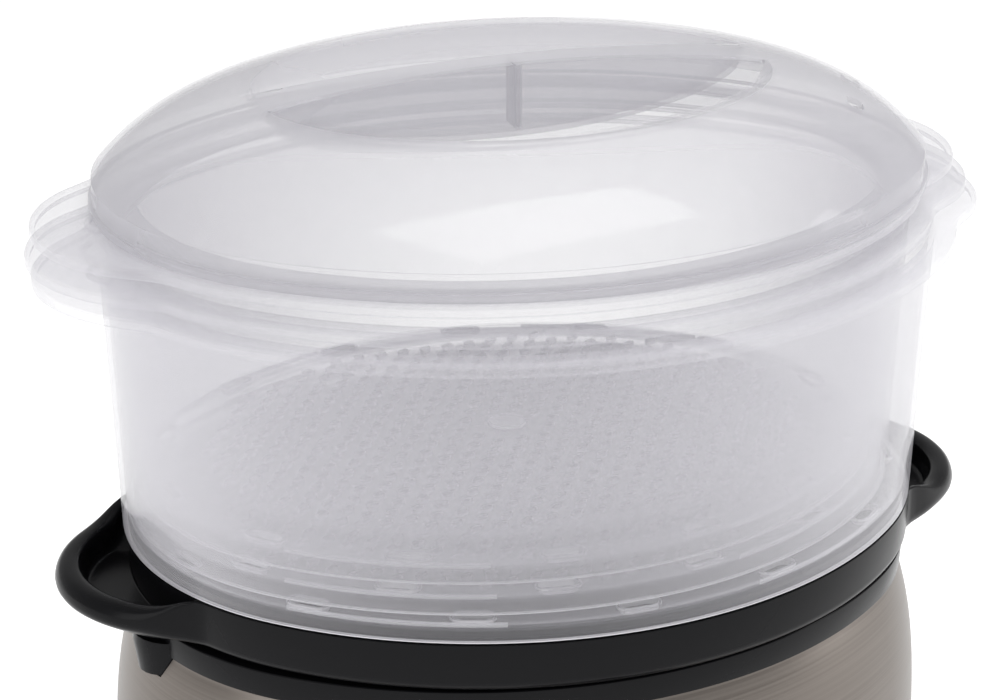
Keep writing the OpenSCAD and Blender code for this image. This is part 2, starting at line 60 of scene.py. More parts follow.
# ---------- Driving dimensions ----------
PLASTIC = 1.6
BASKET_H = 89.0
WALL_FLARE = 2.9
LIP_H = 3.4
RING_Z = 3.2
MID_Z = 6.6
TAB_R = 48.0
BASKET_NODES = ["basket_bottom", "basket_middle", "basket_top"]
INSET = [0.0, 5.2, 9.0]
RIM_W = [6.8, 7.4, 9.0]
TAB_REACH = [151.0, 149.5, 146.0]
SLOT_PHASE = [0.0, 0.58, 0.66]
SLOT_COUNT = 14
SLOT_IN = 7.5

LID_WALL = 8.4
POCKET_A = 80.0
POCKET_B = 63.0
POCKET_DEPTH = 21.0
BAR_MID = 4.9
BAR_END = 9.5
LID_T = 1.7
VENTS = [(106.0, -13.0), (94.5, -39.0)]

BASE_H = node_mm("basket_bottom")[0][2]
RING_TOP = 114.4
STEEL_TOP = 105.6
PAN_TOP = 20.0
STEEL_FLARE = 8.2
STEEL_T = 0.8
HANDLE_REACH = node_mm("drip_tray")[1][0]
LUG_Y = -14.0
BOWL_Z = 46.0
BASIN_Z = 84.0
KNOB_Z = 60.0


# ---------- Ovals ----------
class Oval:
    """Four arcs that meet smoothly: half length, half width and end radius at offset 0."""

    def __init__(self, a, b, e):
        self.a, self.b, self.e = a, b, e
        self.c = a - e
        self.r = (self.c ** 2 + b * b - e * e) / (2 * (b - e))
        self.meet = math.atan2(self.r - b, self.c)

    def centre(self, turn):
        """Centre and radius of the arc whose outward heading is turn."""
        t = (turn + math.pi) % (2 * math.pi) - math.pi
        if abs(t) <= self.meet:
            return self.c, 0.0, self.e
        if abs(t) >= math.pi - self.meet:
            return -self.c, 0.0, self.e
        side = 1 if t > 0 else -1
        return 0.0, side * (self.b - self.r), self.r

    def at(self, turn, out=0.0):
        x, y, r = self.centre(turn)
        return x + (r + out) * math.cos(turn), y + (r + out) * math.sin(turn)

    def outline(self, out=0.0, steps=TURN_STEPS):
        return [self.at(2 * math.pi * k / steps, out) for k in range(steps)]

    def around(self, out, share):
        """Point and heading at a share of the way round, from the front towards the right."""
        fine = self.outline(out, 720)
        start = 540
        lengths = [0.0]
        for k in range(720):
            p, q = fine[(start + k) % 720], fine[(start + k + 1) % 720]
            lengths.append(lengths[-1] + math.dist(p, q))
        goal = (share % 1.0) * lengths[-1]
        for k in range(720):
            if lengths[k + 1] >= goal:
                f = (goal - lengths[k]) / (lengths[k + 1] - lengths[k])
                turn = 2 * math.pi * (start + k + f) / 720
                return self.at(turn, out), turn
        return fine[start], 2 * math.pi * start / 720


BASKET_OVAL = Oval(127.0, 105.0, 90.0)
BASE_OVAL = Oval(125.0, 98.6, 83.0)


# ---------- Sections ----------
def rounded(points, steps=4):
    """A closed section from (outward, up, corner radius) points, with its corners turned into arcs."""
    out = []
    n = len(points)
    for k in range(n):
        p = Vector(points[k][:2])
        radius = points[k][2] if len(points[k]) > 2 else 0.0
        if radius <= 0:
            out.append(tuple(p))
            continue
        before = Vector(points[k - 1][:2]) - p
        after = Vector(points[(k + 1) % n][:2]) - p
        reach = min(radius, before.length * 0.49, after.length * 0.49)
        start = p + before.normalized() * reach
        end = p + after.normalized() * reach
        for s in range(steps + 1):
            f = s / steps
            out.append(tuple(start * (1 - f) ** 2 + p * 2 * f * (1 - f) + end * f * f))
    return out


# ---------- Meshes ----------
def mesh_object(name, verts, faces, material, body, slot, place=(0, 0, 0), sharp=32):
    """A named piece from millimetre vertices that rides on a body."""
    mesh = bpy.data.meshes.new(name)
    shift = Vector(place)
    mesh.from_pydata([(Vector(v) + shift) * MM for v in verts], [], faces)
    mesh.validate()
    work = bmesh.new()
    work.from_mesh(mesh)
    bmesh.ops.remove_doubles(work, verts=work.verts, dist=0.02 * MM)
    bmesh.ops.recalc_face_normals(work, faces=work.faces)
    limit = math.radians(sharp)
    for face in work.faces:
        face.smooth = True
    for edge in work.edges:
        edge.smooth = not (len(edge.link_faces) == 2 and edge.calc_face_angle(0) > limit)
    work.to_mesh(mesh)
    work.free()
    mesh.materials.append(material)
    piece = bpy.data.objects.new(name, mesh)
    bpy.context.collection.objects.link(piece)
    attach(piece, body)
    return piece


def band(oval, section, steps=TURN_STEPS):
    """Vertices and faces of a section carried round an oval; section(turn) may change on the way."""
    verts, faces = [], []
    count = 0
    for k in range(steps):
        turn = 2 * math.pi * k / steps
        points = section(turn) if callable(section) else section
        count = len(points)
        for out, up in points:
            x, y = oval.at(turn, out)
            verts.append((x, y, up))
    for k in range(steps):
        for j in range(count):
            a, b = k * count + j, k * count + (j + 1) % count
            c, d = ((k + 1) % steps) * count + (j + 1) % count, ((k + 1) % steps) * count + j
            faces.append((a, d, c, b))
    return verts, faces


def joined(*parts):
    """Several (vertices, faces) pairs as one."""
    verts, faces = [], []
    for v, f in parts:
        base = len(verts)
        verts += v
        faces += [tuple(i + base for i in face) for face in f]
    return verts, faces


def moved(part, place):
    return [tuple(Vector(v) + Vector(place)) for v in part[0]], part[1]


def revolved(section, steps=48, start=0.0, sweep=2 * math.pi):
    """A (radius, height) section turned about +Z."""
    closed = abs(sweep - 2 * math.pi) < 1e-6
    rings = steps if closed else steps + 1
    n = len(section)
    verts = []
    for k in range(rings):
        t = start + sweep * k / steps
        verts += [(r * math.cos(t), r * math.sin(t), z) for r, z in section]
    faces = []
    for k in range(steps):
        k2 = (k + 1) % rings
        for j in range(n):
            j2 = (j + 1) % n
            faces.append((k * n + j, k2 * n + j, k2 * n + j2, k * n + j2))
    if not closed:
        faces += [tuple(range(n)), tuple((rings - 1) * n + j for j in reversed(range(n)))]
    return verts, faces


def sheet_with_holes(edge, rings, holes, height, thick):
    """A moulded floor: its edge, inner crease lines, holes, and its height at (x, y)."""
    points, edges, faces = [], [], []
    for loop in [edge] + rings + holes:
        base = len(points)
        points += [Vector(p) for p in loop]
        edges += [(base + k, base + (k + 1) % len(loop)) for k in range(len(loop))]
    face_loops = [list(range(len(edge)))]
    base = len(edge) + sum(len(r) for r in rings)
    for hole in holes:
        face_loops.append(list(range(base, base + len(hole))))
        base += len(hole)
    found = geometry.delaunay_2d_cdt(points, edges, face_loops, 0, 1e-4)
    flat, tris, origin = found[0], found[2], found[5]
    kept = [t for t, o in zip(tris, origin) if list(o) == [0]]
    n = len(flat)
    verts = [(p.x, p.y, height(p.x, p.y) + up) for up in (thick, 0) for p in flat]
    faces = [tuple(t) for t in kept] + [tuple(i + n for i in reversed(t)) for t in kept]
    uses = {}
    for t in kept:
        for k in range(len(t)):
            pair = (t[k], t[(k + 1) % len(t)])
            uses[pair] = uses.get(pair, 0) + 1
    for (p, q) in uses:
        if (q, p) not in uses:
            faces.append((q, p, p + n, q + n))
    used = sorted({i for f in faces for i in f})
    index = {old: new for new, old in enumerate(used)}
    return [verts[i] for i in used], [tuple(index[i] for i in f) for f in faces]


def ring_of(radius, steps, x=0.0, y=0.0):
    """Points of a circle about (x, y)."""
    turns = [2 * math.pi * k / steps for k in range(steps)]
    return [(x + radius * math.cos(t), y + radius * math.sin(t)) for t in turns]


def lozenge(x, y, turn, length, width, steps=5):
    """Outline of a slot with round ends."""
    out = []
    half = (length - width) / 2
    for end in (1, -1):
        for k in range(steps + 1):
            t = math.pi * (k / steps - 0.5) + (0 if end > 0 else math.pi)
            out.append((end * half + math.cos(t) * width / 2, math.sin(t) * width / 2))
    c, s = math.cos(turn), math.sin(turn)
    return [(x + c * u - s * v, y + s * u + c * v) for u, v in out]


def smooth_max(p, q, k):
    h = max(0.0, min(1.0, 0.5 + 0.5 * (p - q) / k))
    return q + (p - q) * h + k * h * (1 - h)


def eased(f):
    f = max(0.0, min(1.0, f))
    return f * f * (3 - 2 * f)


# ---------- Materials ----------
def new_material(name):
    material = bpy.data.materials.new(name)
    material.use_nodes = True
    tree = material.node_tree
    return material, tree, tree.nodes["Principled BSDF"]


def surface_marks():
    """Group: fine moulding grain as a height, and soft handling smears as a mask."""
    group = bpy.data.node_groups.new("surface_marks", "ShaderNodeTree")
    group.interface.new_socket("Scale", in_out="INPUT", socket_type="NodeSocketFloat")
    group.interface.new_socket("Height", in_out="OUTPUT", socket_type="NodeSocketFloat")
    group.interface.new_socket("Smears", in_out="OUTPUT", socket_type="NodeSocketFloat")
    nodes, links = group.nodes, group.links
    inward, outward = nodes.new("NodeGroupInput"), nodes.new("NodeGroupOutput")
    place = nodes.new("ShaderNodeTexCoord")
    grain = nodes.new("ShaderNodeTexNoise")
    grain.inputs["Detail"].default_value = 3
    smear = nodes.new("ShaderNodeTexNoise")
    smear.inputs["Scale"].default_value = 14
    smear.inputs["Detail"].default_value = 2
    links.new(inward.outputs["Scale"], grain.inputs["Scale"])
    links.new(place.outputs["Object"], grain.inputs["Vector"])
    links.new(place.outputs["Object"], smear.inputs["Vector"])
    links.new(grain.outputs["Fac"], outward.inputs["Height"])
    links.new(smear.outputs["Fac"], outward.inputs["Smears"])
    return group


MARKS = surface_marks()


def add_marks(tree, shader, scale, bump, rough_low, rough_high):
    marks = tree.nodes.new("ShaderNodeGroup")
    marks.node_tree = MARKS
    marks.inputs["Scale"].default_value = scale
    relief = tree.nodes.new("ShaderNodeBump")
    relief.inputs["Strength"].default_value = bump
    relief.inputs["Distance"].default_value = 0.0004
    tree.links.new(marks.outputs["Height"], relief.inputs["Height"])
    tree.links.new(relief.outputs["Normal"], shader.inputs["Normal"])
    spread = tree.nodes.new("ShaderNodeMapRange")
    spread.inputs["To Min"].default_value = rough_low
    spread.inputs["To Max"].default_value = rough_high
    tree.links.new(marks.outputs["Smears"], spread.inputs["Value"])
    tree.links.new(spread.outputs["Result"], shader.inputs["Roughness"])
    return marks


def plain(name, color, rough, metal=0.0, scale=900, bump=0.08, coat=0.0, gloss=0.5):
    material, tree, shader = new_material(name)
    shader.inputs["Base Color"].default_value = (*color, 1)
    shader.inputs["Metallic"].default_value = metal
    shader.inputs["Coat Weight"].default_value = coat
    shader.inputs["Coat Roughness"].default_value = 0.06
    shader.inputs["Specular IOR Level"].default_value = gloss
    add_marks(tree, shader, scale, bump, rough * 0.8, rough * 1.25)
    return material


def milky(name, color, facing_alpha, edge_alpha, rough):
    """Clear plastic with a faint milkiness that thickens where it is seen edge on."""
    material, tree, shader = new_material(name)
    shader.inputs["Base Color"].default_value = (*color, 1)
    shader.inputs["IOR"].default_value = 1.49
    shader.inputs["Specular IOR Level"].default_value = 0.6
    add_marks(tree, shader, 260, 0.05, rough * 0.8, rough * 1.2)
    edge = tree.nodes.new("ShaderNodeLayerWeight")
    edge.inputs["Blend"].default_value = 0.35
    amount = tree.nodes.new("ShaderNodeMapRange")
    amount.inputs["To Min"].default_value = facing_alpha
    amount.inputs["To Max"].default_value = edge_alpha
    tree.links.new(edge.outputs["Facing"], amount.inputs["Value"])
    tree.links.new(amount.outputs["Result"], shader.inputs["Alpha"])
    return material


def brushed_steel():
    """Steel brushed round the body: fine streaks that run level."""
    material, tree, shader = new_material("brushed_steel")
    shader.inputs["Metallic"].default_value = 1.0
    place = tree.nodes.new("ShaderNodeTexCoord")
    stretch = tree.nodes.new("ShaderNodeMapping")
    stretch.inputs["Scale"].default_value = (6, 6, 1500)
    streaks = tree.nodes.new("ShaderNodeTexNoise")
    streaks.inputs["Scale"].default_value = 1.0
    streaks.inputs["Detail"].default_value = 4
    tree.links.new(place.outputs["Object"], stretch.inputs["Vector"])
    tree.links.new(stretch.outputs["Vector"], streaks.inputs["Vector"])
    tint = tree.nodes.new("ShaderNodeMix")
    tint.data_type = "RGBA"
    tint.inputs["A"].default_value = (0.14, 0.122, 0.108, 1)
    tint.inputs["B"].default_value = (0.25, 0.224, 0.203, 1)
    tree.links.new(streaks.outputs["Fac"], tint.inputs["Factor"])
    tree.links.new(tint.outputs["Result"], shader.inputs["Base Color"])
    rough = tree.nodes.new("ShaderNodeMapRange")
    rough.inputs["To Min"].default_value = 0.26
    rough.inputs["To Max"].default_value = 0.42
    tree.links.new(streaks.outputs["Fac"], rough.inputs["Value"])
    tree.links.new(rough.outputs["Result"], shader.inputs["Roughness"])
    relief = tree.nodes.new("ShaderNodeBump")
    relief.inputs["Strength"].default_value = 0.12
    relief.inputs["Distance"].default_value = 0.0003
    tree.links.new(streaks.outputs["Fac"], relief.inputs["Height"])
    tree.links.new(relief.outputs["Normal"], shader.inputs["Normal"])
    return material


LID_PLASTIC = milky("lid_plastic", (0.70, 0.69, 0.73), 0.17, 0.66, 0.09)
BASKET_PLASTIC = milky("basket_plastic", (0.78, 0.77, 0.81), 0.045, 0.6, 0.12)
CUT_EDGES = milky("basket_cut_edges", (0.90, 0.89, 0.93), 0.7, 0.9, 0.2)
BLACK_GLOSS = plain("black_gloss_plastic", (0.006, 0.006, 0.007), 0.22, bump=0.03, gloss=0.12)
BLACK_SATIN = plain("black_satin_plastic", (0.02, 0.02, 0.022), 0.42, bump=0.25, gloss=0.35)
STEEL = brushed_steel()
WHITE = plain("white_plastic", (0.75, 0.75, 0.71), 0.4)
CREAM = plain("cream_plastic", (0.62, 0.58, 0.48), 0.45)
ALLOY = plain("cast_alloy", (0.55, 0.55, 0.56), 0.45, metal=1.0, scale=400, bump=0.4)
PLATED = plain("zinc_plated_steel", (0.62, 0.62, 0.60), 0.3, metal=1.0)
SEAL = plain("silicone", (0.52, 0.46, 0.40), 0.6)
RUBBER = plain("black_rubber", (0.03, 0.03, 0.03), 0.75, bump=0.3)
LENS = plain("amber_lens", (0.75, 0.16, 0.03), 0.12)
NEON = plain("neon_glass", (0.85, 0.45, 0.25), 0.1)
SLEEVING = plain("wire_sleeving", (0.16, 0.16, 0.17), 0.65, scale=1500, bump=0.5)

CAD_FINISHES = {
    "steam_sleeve": WHITE, "rubber_feet": RUBBER, "heating_element": ALLOY, "heater_seal": SEAL,
    "heater_bracket": PLATED, "bracket_screws": PLATED, "thermostat": CREAM, "thermal_fuse": PLATED,
    "timer_movement": CREAM, "timer_shaft": PLATED, "timer_screws": PLATED, "dial_plate": BLACK_SATIN,
    "timer_knob": BLACK_GLOSS, "lamp_lens": LENS, "neon_lamp": NEON, "terminal_block": CREAM,
    "terminal_screws": PLATED, "wiring": SLEEVING, "cord_gland": RUBBER, "pan_screws": PLATED,
    "lid": LID_PLASTIC, "basket_top": BASKET_PLASTIC, "basket_middle": BASKET_PLASTIC,
    "basket_bottom": BASKET_PLASTIC, "drip_tray": BLACK_GLOSS, "water_reservoir": BLACK_GLOSS,
    "steel_shell": STEEL, "base_pan": BLACK_SATIN,
}
for node, finish in CAD_FINISHES.items():
    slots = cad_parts[node].material_slots
    for each in slots:
        each.material = finish


# ---------- Baskets ----------
def rim_reach(i, turn):
    """How far the rim stands out from the foot, with its two tabs."""
    plain_rim = WALL_FLARE + RIM_W[i]
    t = abs((turn + math.pi / 2) % math.pi - math.pi / 2)
    if t > BASKET_OVAL.meet:
        return plain_rim
    end = BASKET_OVAL.e - INSET[i]
    away = TAB_REACH[i] - TAB_R - BASKET_OVAL.c
    under = TAB_R ** 2 - (away * math.sin(t)) ** 2
    if under <= 0:
        return plain_rim
    tab = away * math.cos(t) + math.sqrt(under) - end
    return smooth_max(plain_rim, tab, 4.0)


def basket_section(i):
    top = RING_Z + PLASTIC
    h = BASKET_H
    lean = WALL_FLARE

    def section(turn):
        reach = rim_reach(i, turn)
        points = rounded([
            (-1.0, 0, 0.4), (0, 0, 0.8), (lean, h - PLASTIC, 1.0), (reach - PLASTIC, h - PLASTIC, 0.8),
            (reach - PLASTIC, h - LIP_H, 0.2), (reach, h - LIP_H, 0.4), (reach, h, 1.5),
            (lean - PLASTIC, h, 1.2), (-PLASTIC, top, 3.0), (-4.2, top, 0), (-4.2, RING_Z, 0),
            (-PLASTIC, RING_Z, 0.6), (-PLASTIC, 0, 0.4)
        ], 3)
        return [(out - INSET[i], up) for out, up in points]

    return section


def basket_floor(i):
    """The slotted ring and the raised, perforated middle."""
    ring_out = -INSET[i] - 3.6
    step_out = -INSET[i] - 12.0
    step_in = -INSET[i] - 15.5
    edge = BASKET_OVAL.outline(ring_out, 160)
    lines = [BASKET_OVAL.outline(step_out, 120), BASKET_OVAL.outline(step_in, 120)]
    a_in, b_in = BASKET_OVAL.a + step_in, BASKET_OVAL.b + step_in
    a_out, b_out = BASKET_OVAL.a + step_out, BASKET_OVAL.b + step_out

    def height(x, y):
        inner, outer = math.hypot(x / a_in, y / b_in), math.hypot(x / a_out, y / b_out)
        share = max(0.0, min(1.0, (inner - 1) / max(1e-6, inner - outer)))
        return MID_Z + (RING_Z - MID_Z) * eased(share)

    holes = []
    for k in range(SLOT_COUNT):
        share = (k + SLOT_PHASE[i]) / SLOT_COUNT
        (x, y), turn = BASKET_OVAL.around(-INSET[i] - SLOT_IN, share)
        holes.append(lozenge(x, y, turn + math.pi / 2, 12.0, 4.6))
    pitch_x, pitch_y = 7.8, 6.3
    margin = 21.0 + INSET[i]
    rows = int(BASKET_OVAL.b / pitch_y)
    cols = int(BASKET_OVAL.a / pitch_x)
    for row in range(-rows, rows + 1):
        for col in range(-cols, cols + 1):
            x = (col + (0.5 if row % 2 else 0.0)) * pitch_x
            y = row * pitch_y
            inside = math.hypot(x / (BASKET_OVAL.a - margin), y / (BASKET_OVAL.b - margin)) < 1
            if inside and math.hypot(x, y) > 9.5:
                holes.append(lozenge(x, y, math.radians(24), 4.4, 2.1, 3))
    return sheet_with_holes(edge, lines, holes, height, PLASTIC)


def slot_borders(i):
    """Thin raised borders round the slots."""
    parts = []
    for k in range(SLOT_COUNT):
        share = (k + SLOT_PHASE[i]) / SLOT_COUNT
        (x, y), turn = BASKET_OVAL.around(-INSET[i] - SLOT_IN, share)
        rings = [lozenge(x, y, turn + math.pi / 2, 12.0 + g, 4.6 + g) for g in (0.1, 1.9)]
        n = len(rings[0])
        low, high = RING_Z + PLASTIC - 0.3, RING_Z + PLASTIC + 0.55
        levels = ((rings[0], low), (rings[0], high), (rings[1], high), (rings[1], low))
        verts = [(*p, z) for ring, z in levels for p in ring]
        faces = []
        for j in range(n):
            for level in range(4):
                a, b = level * n + j, level * n + (j + 1) % n
                c, d = ((level + 1) % 4) * n + (j + 1) % n, ((level + 1) % 4) * n + j
                faces.append((a, b, c, d))
        parts.append((verts, faces))
    return joined(*parts)


def finger_ridges(i):
    """The crescent on each tab."""
    parts = []
    for side in (0, math.pi):
        ridge = revolved(rounded([(9.0, -0.3), (10.8, -0.3), (10.8, 0.9, 0.6), (9.0, 0.9, 0.6)], 2), 20,
                         side - math.radians(55), math.radians(110))
        x = math.cos(side) * (TAB_REACH[i] - 26.5)
        parts.append(moved(ridge, (x, 0, BASKET_H)))
    return joined(*parts)


def brighten_edges(piece, i, place):
    """Gives the foot and the sides of every slot and hole the look of plastic seen edge on."""
    piece.data.materials.append(CUT_EDGES)
    a, b = BASKET_OVAL.a - INSET[i] - 4.6, BASKET_OVAL.b - INSET[i] - 4.6
    for face in piece.data.polygons:
        x, y, up = (face.center[k] / MM - place[k] for k in range(3))
        upright = abs(face.normal.z) < 0.5
        in_floor = RING_Z - 1 < up < MID_Z + PLASTIC + 1 and math.hypot(x / a, y / b) < 1
        if (upright and in_floor) or up < 0.5:
            face.material_index = 1


def basket(i, body):
    node = BASKET_NODES[i]
    low, high = node_mm(node)
    place = ((low[0] + high[0]) / 2, 0, low[2])
    boss = revolved(rounded([(0.01, 0.2), (6, 0.2), (6, 1.3, 0.5), (0.01, 1.3)], 2), 32)
    part = joined(
        band(BASKET_OVAL, basket_section(i)), basket_floor(i), slot_borders(i), finger_ridges(i),
        moved(boss, (0, 0, MID_Z + PLASTIC - 0.3)),
    )
    piece = mesh_object(node + "_moulding", *part, BASKET_PLASTIC, body, "clear_basket", place)
    brighten_edges(piece, i, place)
    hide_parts(node)
    return piece


# ---------- Lid ----------
def dome(k, rise):
    """Height above the flange, with k 0 at the crown and 1 at the wall."""
    return LID_WALL + rise * (0.73 * (1 - k ** 6.8) + 0.27 * (1 - k * k) ** 2)


def bar_half(x):
    return BAR_MID + (BAR_END - BAR_MID) * (x / POCKET_A) ** 2


def lid_shell(oval, rise):
    """The outer skin of the dome, its pockets and its wall, as one open surface."""
    half_cols = 96
    verts, faces = [], []

    def grid(rows, loop):
        n = len(rows[0])
        base = len(verts)
        for row in rows:
            verts.extend(row)
        for r in range(len(rows) - 1):
            for k in range(n if loop else n - 1):
                k2 = (k + 1) % n
                here, below = base + r * n, base + (r + 1) * n
                faces.append((here + k, here + k2, below + k2, below + k))

    def skin(x, y):
        return dome(min(1.0, math.hypot(x / oval.a, y / oval.b)), rise)

    # From the pockets' outer edge down to the foot of the wall
    turns = [2 * math.pi * k / (2 * half_cols) for k in range(2 * half_cols)]
    headings = [math.atan2(math.sin(t) * oval.a, math.cos(t) * oval.b) for t in turns]
    inner = [(POCKET_A * math.cos(t), POCKET_B * math.sin(t)) for t in turns]
    outer = [oval.at(heading) for heading in headings]
    rows = []
    for step in range(25):
        f = step / 24
        f = 1 - (1 - f) ** 1.7
        row = []
        for p, q in zip(inner, outer):
            x, y = p[0] + (q[0] - p[0]) * f, p[1] + (q[1] - p[1]) * f
            k_in = math.hypot(p[0] / oval.a, p[1] / oval.b)
            row.append((x, y, dome(k_in + (1 - k_in) * f, rise)))
        rows.append(row)
    for drop, out in ((3.0, 0.15), (LID_WALL - 2.2, 0.5)):
        rows.append([(*oval.at(heading, out), LID_WALL - drop) for heading in headings])
    grid(rows, True)

    # Inside that edge: a pocket, the grip bar, and the other pocket, column by column
    columns = []
    for c in range(half_cols + 1):
        t = math.pi * (1 - c / half_cols)
        x = POCKET_A * math.cos(t)
        far = POCKET_B * math.sin(t)
        near = min(bar_half(x), far)
        depth = POCKET_DEPTH * math.sqrt(max(0.0, 1 - (x / POCKET_A) ** 2)) * eased((far - near) / 12)
        half = []
        for step in range(13):
            f = step / 12
            y = far + (near - far) * f
            edge = skin(x, far) + (skin(x, y) - skin(x, far)) * 0.35 * f
            fall = depth * min(1.0, f ** 0.85 * (1 - 0.12 * (1 - f)))
            half.append((x, y, edge - fall if step else skin(x, far)))
        wall = [(x, near, half[-1][2] + (skin(x, near) - half[-1][2]) * g) for g in (0.05, 0.5, 0.95)]
        top = [(x, near * g, skin(x, near * g)) for g in (0.92, 0.6, 0.2)]
        one = half + wall + top
        columns.append([(p[0], -p[1], p[2]) for p in one] + list(reversed(one)))
    grid(columns, False)
    return verts, faces


def thickened(part, thick):
    """An open surface given a thickness on its inner side."""
    mesh = bpy.data.meshes.new("shell_work")
    mesh.from_pydata(part[0], [], part[1])
    work = bmesh.new()
    work.from_mesh(mesh)
    bmesh.ops.remove_doubles(work, verts=work.verts, dist=0.02)
    bmesh.ops.dissolve_degenerate(work, edges=work.edges, dist=0.01)
    bmesh.ops.recalc_face_normals(work, faces=work.faces)
    crown = max(work.faces, key=lambda f: f.calc_center_median().z)
    if crown.normal.z < 0:
        bmesh.ops.reverse_faces(work, faces=work.faces)
    work.normal_update()
    outer = list(work.verts)
    normals = {v: v.normal.copy() for v in outer}
    faces_before = list(work.faces)
    twin = {v: work.verts.new(v.co - normals[v] * thick) for v in outer}
    for face in faces_before:
        try:
            work.faces.new([twin[v] for v in reversed(face.verts)])
        except ValueError:
            pass
    for edge in [e for e in work.edges if len(e.link_faces) == 1 and all(v in twin for v in e.verts)]:
        p, q = edge.verts
        try:
            work.faces.new([p, q, twin[q], twin[p]])
        except ValueError:
            pass
    work.verts.index_update()
    verts = [tuple(v.co) for v in work.verts]
    faces = [tuple(v.index for v in f.verts) for f in work.faces]
    work.free()
    bpy.data.meshes.remove(mesh)
    return verts, faces


def vent_plug(x, y):
    """An upright oval through the dome, longer round the lid than across it."""
    turn = math.atan2(y, x)
    shape = lozenge(x, y, turn + math.pi / 2, 8.2, 5.0, 8)
    n = len(shape)
    verts = [(*p, z) for z in (10.0, 45.0) for p in shape]
    faces = [tuple(range(n)), tuple(range(2 * n - 1, n - 1, -1))]
    return verts, faces + [(k, (k + 1) % n, (k + 1) % n + n, k + n) for k in range(n)]


def absorb(piece, other):
    """Takes another piece's mesh into this one."""
    work = bmesh.new()
    work.from_mesh(piece.data)
    work.from_mesh(other.data)
    work.to_mesh(piece.data)
    work.free()
    bpy.data.objects.remove(other)


def lid(body):
    low, high = node_mm("lid")
    flange_z = high[2] - 37.5
    rise = 37.5 - LID_WALL
    place = ((low[0] + high[0]) / 2, 0, flange_z)
    oval = Oval(128.0, 105.2, 91.0)
    shell = thickened(lid_shell(oval, rise), LID_T)
    piece = mesh_object("lid_moulding", *shell, LID_PLASTIC, body, "clear_lid", place, 38)
    cut(piece, *[moved(vent_plug(x, y), place) for x, y in VENTS])
    seat = INSET[2] - WALL_FLARE + PLASTIC + 2.6
    inward = BASKET_OVAL.a - seat - oval.a
    flange = band(oval, rounded([
        (1.2, 0, 0.4), (1.2, 2.6, 0.8), (-0.2, 3.0, 0.5), (-1.6, 2.6, 0.3), (-1.9, 1.7, 0.4),
        (inward - LID_T, 1.7, 0.5), (inward - LID_T, -4.8, 0.4), (inward, -4.8, 0.5), (inward, 0, 0.3)
    ], 3))
    rib_top = 36.3
    rib_low = rib_top - POCKET_DEPTH + 1.5
    rib_y = BAR_MID - 0.4
    rib = ([(x, y, z) for z in (rib_low, rib_top) for y in (-rib_y, rib_y) for x in (-0.8, 0.8)],
           [(0, 1, 3, 2), (4, 6, 7, 5), (0, 4, 5, 1), (2, 3, 7, 6), (0, 2, 6, 4), (1, 5, 7, 3)])
    rim = mesh_object("lid_rim", *joined(flange, rib), LID_PLASTIC, body, "clear_lid", place, 38)
    absorb(piece, rim)
    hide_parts("lid")
    return piece


# ---------- Drip tray ----------
TRAY_LOW = 115.6
TRAY_FLOOR = 111.0


def handle_swell(turn):
    """How far the handle stands out past the tray's ring."""
    t = abs((turn + math.pi / 2) % math.pi - math.pi / 2)
    reach = HANDLE_REACH - BASKET_OVAL.a
    radius = 42.0
    away = HANDLE_REACH - radius - BASKET_OVAL.c
    under = radius ** 2 - (away * math.sin(t)) ** 2
    if t > BASKET_OVAL.meet or under <= 0:
        return 0.0
    tab = away * math.cos(t) + math.sqrt(under) - BASKET_OVAL.e
    return max(0.0, min(reach, smooth_max(tab, 0.0, 5.0)))


def tray_section(turn):
    out = handle_swell(turn)
    share = eased(out / 16.0)
    rim_top = BASE_H - 0.6 - 4.6 * share
    well = BASE_H - 0.6 - (13.5 * share)
    wall = min(7.5, out * 0.6 + 0.4)
    low = TRAY_LOW - 0.4 * share
    outer = max(-0.6, out)
    points = rounded([
        (-4.0, low, 0.6), (max(-3.4, out - 9), low, 2.0), (outer, low + 3.5 * share + 2, 3.5),
        (outer - 2.4 * share, rim_top, 3.0), (max(-0.9, out - wall - 1.4 * share), rim_top, 2.6),
        (max(-1.2, out - wall - 2.4 * share), well, 2.0), (-1.6, well, 0.6),
        (-1.6, BASE_H - 0.3, 0.3), (-4.2, BASE_H, 0.2), (-4.6, BASE_H + 2.6, 0.5),
        (-6.0, BASE_H + 2.6, 0.5), (-6.6, BASE_H - 2, 0.5), (-7, 121, 1), (-9, 118.4, 1),
        (-18, 116.6, 1), (-18.8, TRAY_FLOOR + 2, 0.6),
        (-31, TRAY_FLOOR + 2, 0), (-31, TRAY_FLOOR, 0), (-17, TRAY_FLOOR, 0.4), (-16.4, RING_TOP, 0.4),
        (-7, RING_TOP, 0.3), (-7, low, 0.3)
    ], 4)
    return points


def tray(body):
    floor = sheet_with_holes(
        BASKET_OVAL.outline(-30.5, 96), [], [ring_of(29, 48)], lambda x, y: TRAY_FLOOR, 2.0)
    collar = revolved(rounded([(28, 0), (30.4, 0), (30.4, 13, 0.8), (28, 13, 0.8)], 3), 64)
    part = joined(band(BASKET_OVAL, tray_section), floor, moved(collar, (0, 0, TRAY_FLOOR)))
    piece = mesh_object("drip_tray_moulding", *part, BLACK_GLOSS, body, "black_gloss", (0, 0, 0), 30)
    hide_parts("drip_tray")
    return piece


# ---------- Base ----------
def steel_out(z):
    return STEEL_FLARE * (1 - (1 - (STEEL_TOP - z) / (STEEL_TOP - PAN_TOP)) ** 4)


